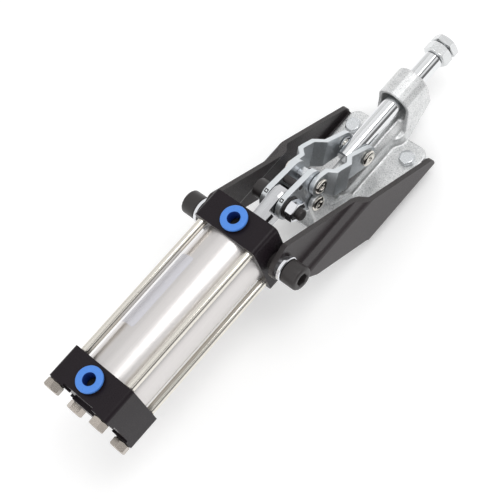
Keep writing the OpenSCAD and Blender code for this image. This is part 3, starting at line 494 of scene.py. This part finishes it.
for hand, way in (("left", 1.0), ("right", -1.0)):
    axis = (0.0, way, 0.0)
    bush = joined("bush_" + hand, [turned(TRUNNION, axis, bush_rows, ring=True)])
    put("bush_" + hand, bush, "nickel", "base", "trunnion_bush_" + hand, material="chrome_bright")
    screw = joined("pivot_screw_" + hand, [turned(TRUNNION, axis, screw_rows, pitch=1.5, turn=8.0)])
    put("pivot_screw_" + hand, screw, "black_oxide", "cylinder", "trunnion_screw_" + hand)
pair = [turned(TRUNNION, (0.0, way, 0.0), collar_rows, ring=True) for way in (1.0, -1.0)]
put("collars", joined("collars", pair), "black_oxide", "cylinder", "trunnion_collars")


# Caps: two square blocks sawn from aluminium bar, bored for the tube, drilled for the tie rods and
# fittings, edges lightly broken, black anodised.
CAP_EDGE = 0.35
finish("cap_black", (0.015, 0.011, 0.014), 0.30, 0.0, grain=3500, vary=0.15, relief=0.15, relief_mm=0.02,
       specular=0.16)
for node in ("rear_cap", "front_head"):
    put(node + "_block", softened(node, CAP_EDGE), "cap_black", "cylinder", node)


# Cylinder tube: bright anodised aluminium, drawn, with fine lines along it, between two flat rubber
# gaskets. A pale bare film, where the real tube has its printed label, is stuck on its upper left.
TUBE_AXIS = (0.0, 0.0, 60.5)
TUBE_FROM, TUBE_TO = -219.05, -106.05
FILM_FROM, FILM_TO = -187.0, -131.5
FILM_INNER, FILM_OUTER = 13.0, 66.0
FILM_THICK = 0.06
FILM_CORNER = 1.4
FILM_CORNER_SHARE = 0.06
TUBE_R = 22.5
tube_rows = [(TUBE_FROM, 20.0), (TUBE_FROM, 22.2), (TUBE_FROM + 0.3, TUBE_R), (TUBE_TO - 0.3, TUBE_R),
             (TUBE_TO, 22.2), (TUBE_TO, 20.0)]
finish("tube_silver", (0.71, 0.685, 0.675), 0.31, 0.92, grain=900, stretch=(0.02, 1.6, 1.6), vary=0.02,
       relief=0.05, relief_mm=0.01, rough_vary=0.03)
tube = joined("drawn_tube", [turned(TUBE_AXIS, ALONG, tube_rows, columns=144, ring=True)])
put("drawn_tube", tube, "tube_silver", "cylinder", "tube")


def film_patch(low, high, inner, outer, radius, thickness):
    """Closed thin patch on the tube in mm: (points, faces).

    Points stand at (x, radius*sin t, axis height + radius*cos t), where x runs along the tube and t from
    inner to outer degrees, from +Z towards +Y. The ends are drawn in at the corners, which rounds them.
    """
    u, v = np.meshgrid(np.linspace(0, 1, 33), np.linspace(0, 1, 41), indexing="ij")
    inset = FILM_CORNER * np.clip(1 - np.minimum(v, 1 - v) / FILM_CORNER_SHARE, 0, 1) ** 2
    x = low + inset + u * (high - low - 2 * inset)
    turn = np.radians(inner + v * (outer - inner))
    layers = [np.stack([x, r * np.sin(turn), TUBE_AXIS[2] + r * np.cos(turn)], axis=-1).reshape(-1, 3)
              for r in (radius + thickness, radius)]
    rows, columns = u.shape
    index = np.arange(rows * columns).reshape(rows, columns)
    top = np.stack([index[:-1, :-1], index[1:, :-1], index[1:, 1:], index[:-1, 1:]], axis=-1)
    top = top.reshape(-1, 4)
    border = np.concatenate([index[0, :-1], index[:-1, -1], index[-1, :0:-1], index[:0:-1, 0]])
    after = np.roll(border, -1)
    under = rows * columns
    wall = np.stack([border, after, after + under, border + under], axis=-1)
    return np.concatenate(layers), np.concatenate([top, top[:, ::-1] + under, wall])


def dress(*nodes):
    """Gives CAD nodes that stay shown the finish of their slot."""
    slot_of = {row["node"]: row["material_slot"] for row in frame["record"]["subparts"]}
    for node in nodes:
        frame["nodes"][node].data.materials.clear()
        frame["nodes"][node].data.materials.append(finish_of[slot_of[node]])


finish("label_film", (0.66, 0.655, 0.70), 0.42, 0.25, grain=1200, vary=0.03, relief=0.05, relief_mm=0.01,
       coat=0.2)
film = film_patch(FILM_FROM, FILM_TO, FILM_INNER, FILM_OUTER, TUBE_R, FILM_THICK)
put("bare_label_film", joined("label_film", [film]), "tube_silver", "cylinder", material="label_film")
finish("seal_rubber", (0.015, 0.015, 0.015), 0.6, 0.0, grain=3000, vary=0.2, relief=0.3, relief_mm=0.03)
dress("tube_seals")


# Tie rods and nuts: four 6 mm bright nickel-plated rods pull the caps onto the tube. They screw into the
# front head, and behind the rear cap each has a closed hexagon nut on a thin black washer.
ROD_OFFSETS = (-19.5, 19.5)
ROD_PLACES = [(0.0, y, TUBE_AXIS[2] + z) for y in ROD_OFFSETS for z in ROD_OFFSETS]
NUT_BACK, NUT_FRONT, NUT_ACROSS = -245.75, -239.95, 10.4
rod_rows = [(-244.6, 0.0), (-244.6, 2.4), (-244.2, 3.0, 0, NO_LIMIT, THREAD_DEPTH),
            (-233.0, 3.0, 0, NO_LIMIT, THREAD_DEPTH), (-232.5, 3.0), (-100.0, 3.0),
            (-91.75, 3.0), (-91.75, 0.0)]
# Painted shade: the nuts' nickel is painted darker and browner than the rods' nickel.
finish("nut_nickel_painted_shade", (0.50, 0.455, 0.41), 0.24, 1.0, grain=1500, vary=0.12, relief=0.15, relief_mm=0.02)
nut_rows = ([(-244.7, 0.0), (-244.7, 3.05), (-240.0, 3.05)]
            + hexagon_rows(NUT_BACK, NUT_FRONT, NUT_ACROSS)[::-1]
            + [(NUT_BACK, 3.0), (-245.6, 2.5), (-245.6, 0.0)])
washer_rows = [(-239.93, 3.05), (-239.93, 5.4), (-239.56, 5.4), (-239.56, 3.05)]
rods = joined("threaded_rods", [turned(place, ALONG, rod_rows, columns=48) for place in ROD_PLACES])
put("threaded_rods", rods, "nickel", "cylinder", "tie_rods")
nuts = [turned(place, ALONG, nut_rows, turn=9.0 + 21.0 * k) for k, place in enumerate(ROD_PLACES)]
put("rod_nuts", joined("rod_nuts", nuts), "nickel", "cylinder", "rear_nuts", material="nut_nickel_painted_shade")
washers = [turned(place, ALONG, washer_rows, ring=True) for place in ROD_PLACES]
put("rod_washers", joined("rod_washers", washers), "black_oxide", "cylinder")


# Gland: turned bearing of the piston rod in the front head, nickel plated, with a flange in front and a
# groove inside for the rubber seal.
gland_rows = [(-106.05, 5.05), (-106.05, 8.7), (-105.75, 9.0), (-87.75, 9.0), (-87.75, 10.2),
              (-87.45, 10.5), (-86.4, 10.5), (-85.95, 10.05), (-85.95, 5.6), (-86.5, 5.05),
              (-93.4, 5.05), (-93.4, 7.5), (-98.4, 7.5), (-98.4, 5.05)]
gland = joined("turned_gland", [turned(TUBE_AXIS, ALONG, gland_rows, columns=96, ring=True)])
put("turned_gland", gland, "nickel", "cylinder", "rod_gland")
dress("rod_seal")


# Air fittings: turned brass bodies screwed into the caps, a black stop inside, and a blue plastic ring
# with a countersunk hole that is pressed down to let the 8 mm tube go.
FITTING_PLACES = {"rear": (-227.05, 0.0, 0.0), "front": (-98.4, 0.0, 0.0)}
BORE_SHADE_R = 4.3
body_rows = [(72.5, 2.0), (72.5, 6.7), (72.8, 7.0), (85.1, 7.0), (85.5, 6.6), (85.5, 5.8), (85.1, 5.4),
             (75.5, 5.4), (75.5, 2.0)]
stop_rows = [(75.6, 2.2), (75.6, 5.3), (79.4, 5.3), (79.4, 4.6), (78.2, 3.4), (77.8, 2.2)]
ring_rows = [(81.0, 4.05), (81.0, 4.9), (81.2, 5.1), (87.0, 5.1), (87.0, 8.35), (87.15, 8.6),
             (87.4, 8.7), (88.5, 8.7), (88.85, 8.6), (89.1, 8.3), (89.2, 7.9), (89.2, 4.75),
             (89.12, 4.5), (88.9, 4.28), (88.5, 4.12), (88.0, 4.05)]
# Painted shade: the ring's bore is painted a darker blue.
finish("ring_blue", (0.085, 0.26, 0.74), 0.32, 0.0, grain=900, vary=0.03, relief=0.03, relief_mm=0.01,
       painted_light=(0.010, 0.035, 0.20), specular=0.3)


def mark_bore_shade(mesh, centre_x, bore_mm):
    """Marks the faces of an upright ring's bore with 1, for a painted shade there, where the light hardly
    reaches.
    """
    centres = np.empty(3 * len(mesh.polygons), dtype=np.float32)
    mesh.polygons.foreach_get("center", centres)
    away = np.hypot(centres[0::3] - centre_x / 1000, centres[1::3]) * 1000
    painted_light = mesh.attributes.new("painted_light", "FLOAT", "FACE")
    painted_light.data.foreach_set("value", (away < bore_mm).astype(np.float32))


finish("brass_body", (0.72, 0.56, 0.27), 0.25, 1.0, grain=1500, vary=0.1, relief=0.15, relief_mm=0.02)
for end, place in FITTING_PLACES.items():
    body = joined("fitting_body_" + end, [turned(place, UP, body_rows, ring=True)])
    put("fitting_body_" + end, body, "brass_body", "cylinder", "fitting_" + end)
    stop = joined("tube_stop_" + end, [turned(place, UP, stop_rows, ring=True)])
    put("tube_stop_" + end, stop, "seal_rubber", "cylinder")
    ring = joined("blue_ring_" + end, [turned(place, UP, ring_rows, columns=96, ring=True)])
    mark_bore_shade(ring, place[0], BORE_SHADE_R)
    put("blue_ring_" + end, ring, "ring_blue", "ring_" + end, "release_ring_" + end)


# Rod and piston: a hard-chromed rod whose round end is milled flat on both sides into a tongue, with an
# eye for the cross bolt. In the tube the rod carries the aluminium piston with its seals and nut.
TONGUE_FROM = -80.5
TONGUE_CORNER_END = -76.5
TONGUE_STRETCH = 5.3
TONGUE_R = 10.0
TONGUE_HALF = 4.0
TONGUE_CUTS = np.linspace(-3.75, 3.75, 11)


def milled_tongue():
    """Copy of the rod whose tongue is round on top and below and reaches back to the gland.

    The tongue is cut lengthwise so that it can bend, z is held within sqrt(r*r - y*y) of the axis, and the
    points of the tongue's rear corners move back.
    """
    bm = merged_copy("piston_rod")
    for y in TONGUE_CUTS:
        everything = bm.verts[:] + bm.edges[:] + bm.faces[:]
        bmesh.ops.bisect_plane(bm, geom=everything, dist=1e-7, plane_co=(0, y / 1000, 0), plane_no=ACROSS)
    mesh = mesh_from(bm, "rod_with_tongue")
    points = points_of(mesh) * 1000
    reach = np.sqrt(TONGUE_R ** 2 - np.clip(points[:, 1], -TONGUE_HALF, TONGUE_HALF) ** 2)
    height = np.clip(points[:, 2] - TUBE_AXIS[2], -reach, reach)
    points[:, 2] = np.where(points[:, 0] > TONGUE_FROM, TUBE_AXIS[2] + height, points[:, 2])
    corner = (points[:, 0] > TONGUE_FROM) & (points[:, 0] < TONGUE_CORNER_END)
    points[:, 0] -= TONGUE_STRETCH * corner
    mesh.vertices.foreach_set("co", (points / 1000).ravel())
    return mesh


finish("rod_steel", (0.60, 0.605, 0.62), 0.13, 1.0, grain=1800, stretch=(0.3, 1.5, 1.5), vary=0.05,
       relief=0.05, relief_mm=0.01, rough_vary=0.03)
finish("wear_ring_plastic", (0.62, 0.60, 0.52), 0.5, 0.0, grain=2000, vary=0.1, relief=0.2,
       relief_mm=0.03)
put("rod_with_tongue", milled_tongue(), "polished_steel", "rod", "piston_rod", material="rod_steel")
dress("piston", "piston_seals", "piston_wear_ring", "piston_nut")


# Lever: two punched 4 mm plates, white zinc plate, with a black rivet between them. Their faces are
# painted darker, a painted shade, and their sheared edges paler, a painted highlight. A black
# socket-head bolt with washers and a nut goes through the rod's tongue.
PLATE_EDGE = 0.35
BOLT_PLACE = (-65.0, 0.0, 60.5)
BOLT_SCREW_DEPTH = 0.4
LINK_PIN = (-40.5, 0.0, 55.0)
PLATE_MIDDLE = 6.4
MARK_NORMAL = (-0.221, 0.0, 0.975)
# Painted light: the plate colour is darker than the zinc plate's, painted shade on the faces, and the
# paler edge colour is a painted highlight.
finish("lever_zinc_painted_light", (0.50, 0.525, 0.55), 0.34, 0.9, grain=900, vary=0.08, relief=0.22, relief_mm=0.04,
       painted_light=(0.72, 0.75, 0.77))


def mark_edge_highlight(mesh):
    """Marks an upright plate's sheared edges with 1 for a painted highlight, and its two faces with 0."""
    mark_painted_light(mesh, axis=1, none_at=0.75, full_at=0.35)


for node in ("lever_plate_left", "lever_plate_right"):
    plate = softened(node, PLATE_EDGE)
    mark_edge_highlight(plate)
    put(node + "_punched", plate, "zinc_plate", "lever", node, material="lever_zinc_painted_light")
mark_rows = [(-0.06, 0.85), (0.05, 0.95), (0.05, 1.75), (-0.06, 1.85)]
marks = [turned((-67.1, y, 69.76), MARK_NORMAL, mark_rows, columns=4, ring=True, turn=45.0)
         for y in (-PLATE_MIDDLE, PLATE_MIDDLE)]
put("square_marks", joined("square_marks", marks), "black_oxide", "lever")
cross_bolt_rows = [(-19.8, 0.0), (-19.8, 3.3), (-19.2, 4.0, 0, NO_LIMIT, BOLT_SCREW_DEPTH),
                   (-8.0, 4.0, 0, NO_LIMIT, BOLT_SCREW_DEPTH), (-7.5, 4.0), (9.8, 4.0), (9.8, 6.1),
                   (10.2, 6.5), (16.7, 6.5), (17.4, 6.2), (17.8, 5.5), (17.8, 3.9), (17.4, 3.0, 1.0),
                   (13.8, 3.0, 1.0), (13.0, 0.0)]
cross_nut_rows = [(-16.3, 4.02)] + hexagon_rows(-16.3, -9.8, 13.0) + [(-9.8, 4.02)]
right_washer = [(-9.8, 4.02), (-9.8, 7.35), (-9.55, 7.6), (-8.4, 7.6), (-8.4, 4.02)]
left_washer = [(-along, radius) for along, radius in right_washer]
bolt = joined("bolt_through_rod", [turned(BOLT_PLACE, ACROSS, cross_bolt_rows, pitch=1.25, turn=20.0)])
put("bolt_through_rod", bolt, "black_oxide", "lever", "cross_bolt")
nut = joined("nut_of_bolt", [turned(BOLT_PLACE, ACROSS, cross_nut_rows, ring=True, turn=14.0)])
put("nut_of_bolt", nut, "nickel", "lever", "cross_nut", material="chrome_bright")
pair = [turned(BOLT_PLACE, ACROSS, rows, ring=True) for rows in (right_washer, left_washer)]
put("washers_of_bolt", joined("washers_of_bolt", pair), "black_oxide", "lever", "cross_washers")
pin = joined("rolled_link_pin", [rolled_pin(LINK_PIN, half=12.5)])
put("rolled_link_pin", pin, "nickel", "lever", "link_pin")
sleeve_rows = [(-4.4, 3.77), (-4.4, 5.0), (-4.15, 5.25), (4.15, 5.25), (4.4, 5.0), (4.4, 3.77)]
sleeve = joined("turned_sleeve", [turned(LINK_PIN, ACROSS, sleeve_rows, ring=True)])
put("turned_sleeve", sleeve, "zinc_plate", "lever", "link_pin_sleeve")
dress("lever_spacer")


# Links: two 3.5 mm plates joggled outwards so that they pass round the lever, punched and pressed, white
# zinc plate, satin. Their faces are painted darker, a painted shade, and their sheared edges bright, a
# painted highlight.
# Painted light: the plate colour is darker than the zinc plate's, painted shade on the faces, and the
# bright edge colour is a painted highlight.
finish("link_zinc_painted_light", (0.47, 0.495, 0.515), 0.34, 0.9, grain=900, vary=0.10, relief=0.25, relief_mm=0.05,
       painted_light=(0.74, 0.77, 0.79))
for node in ("link_plate_left", "link_plate_right"):
    plate = softened(node, PLATE_EDGE, angle=24.0)
    mark_edge_highlight(plate)
    put(node + "_pressed", plate, "zinc_plate", "links", node, material="link_zinc_painted_light")


# Plunger: ground steel bar, hard-chromed and polished, with a pin of nickel-plated steel and two collars
# that hold the links, and a tapped hole in front.
PLUNGER_PIN = (1.6, 0.0, 30.0)
PLUNGER_EDGE = 0.3
PLUNGER_REACH = 0.0022
PLUNGER_NOSE_FROM = 0.080
finish("polished_steel", (0.80, 0.81, 0.82), 0.09, 1.0, grain=1800, stretch=(0.3, 1.5, 1.5), vary=0.03,
       relief=0.05, relief_mm=0.01, rough_vary=0.03)
plunger_mesh = softened("plunger", PLUNGER_EDGE)
# The nose reaches a little further out than the solid's.
plunger_points = points_of(plunger_mesh)
plunger_points[plunger_points[:, 0] > PLUNGER_NOSE_FROM, 0] += PLUNGER_REACH
plunger_mesh.vertices.foreach_set("co", plunger_points.ravel())
put("ground_plunger", plunger_mesh, "polished_steel", "plunger", "plunger")
pin = rolled_pin(PLUNGER_PIN, half=12.0, head_r=5.7, neck_from=7.9, neck_r=2.6)
put("rolled_plunger_pin", joined("rolled_plunger_pin", [pin]), "nickel", "plunger", "plunger_pin")
spacing_rows = [(6.75, 3.77), (6.75, 5.1), (7.0, 5.35), (7.65, 5.35), (7.9, 5.1), (7.9, 3.77)]
pair = [turned(PLUNGER_PIN, (0.0, way, 0.0), spacing_rows, ring=True) for way in (1.0, -1.0)]
put("pin_spacings", joined("pin_spacings", pair), "zinc_plate", "plunger", "plunger_pin_collars")


# Spindle: an M10 hexagon bolt screwed into the plunger and locked by a nut, white zinc plate, both with
# chamfered corners.
SPINDLE = (0.0, 0.0, 30.0)
SPINDLE_ACROSS = 17.0
SPINDLE_SCREW_DEPTH = 0.5
NUT_FROM, NUT_TO, NUT_TURN = 86.95, 94.95, 46.0
HEAD_FROM, HEAD_TO, HEAD_TURN = 95.75, 101.3, 43.0
finish("bolt_zinc", (0.72, 0.73, 0.735), 0.15, 0.95, grain=900, vary=0.03, relief=0.10, relief_mm=0.02)
lock_rows = [(NUT_FROM, 5.02)] + hexagon_rows(NUT_FROM, NUT_TO, SPINDLE_ACROSS) + [(NUT_TO, 5.02)]
spindle_rows = ([(66.0, 0.0), (66.0, 4.2), (66.8, 5.0, 0, NO_LIMIT, SPINDLE_SCREW_DEPTH),
                 (HEAD_FROM - 0.3, 5.0, 0, NO_LIMIT, SPINDLE_SCREW_DEPTH), (HEAD_FROM - 0.2, 5.0),
                 (HEAD_FROM, 5.0), (HEAD_FROM, 8.0), (HEAD_FROM + 0.3, 8.0)]
                + hexagon_rows(HEAD_FROM + 0.3, HEAD_TO, SPINDLE_ACROSS, low_cut=False) + [(HEAD_TO, 0.0)])
locking_nut = joined("locking_nut", [turned(SPINDLE, ALONG, lock_rows, ring=True, turn=NUT_TURN)])
put("locking_nut", locking_nut, "zinc_plate", "plunger", "lock_nut", material="bolt_zinc")
spindle = joined("spindle", [turned(SPINDLE, ALONG, spindle_rows, pitch=1.5, turn=HEAD_TURN)])
put("spindle", spindle, "zinc_plate", "plunger", "spindle_bolt", material="bolt_zinc")
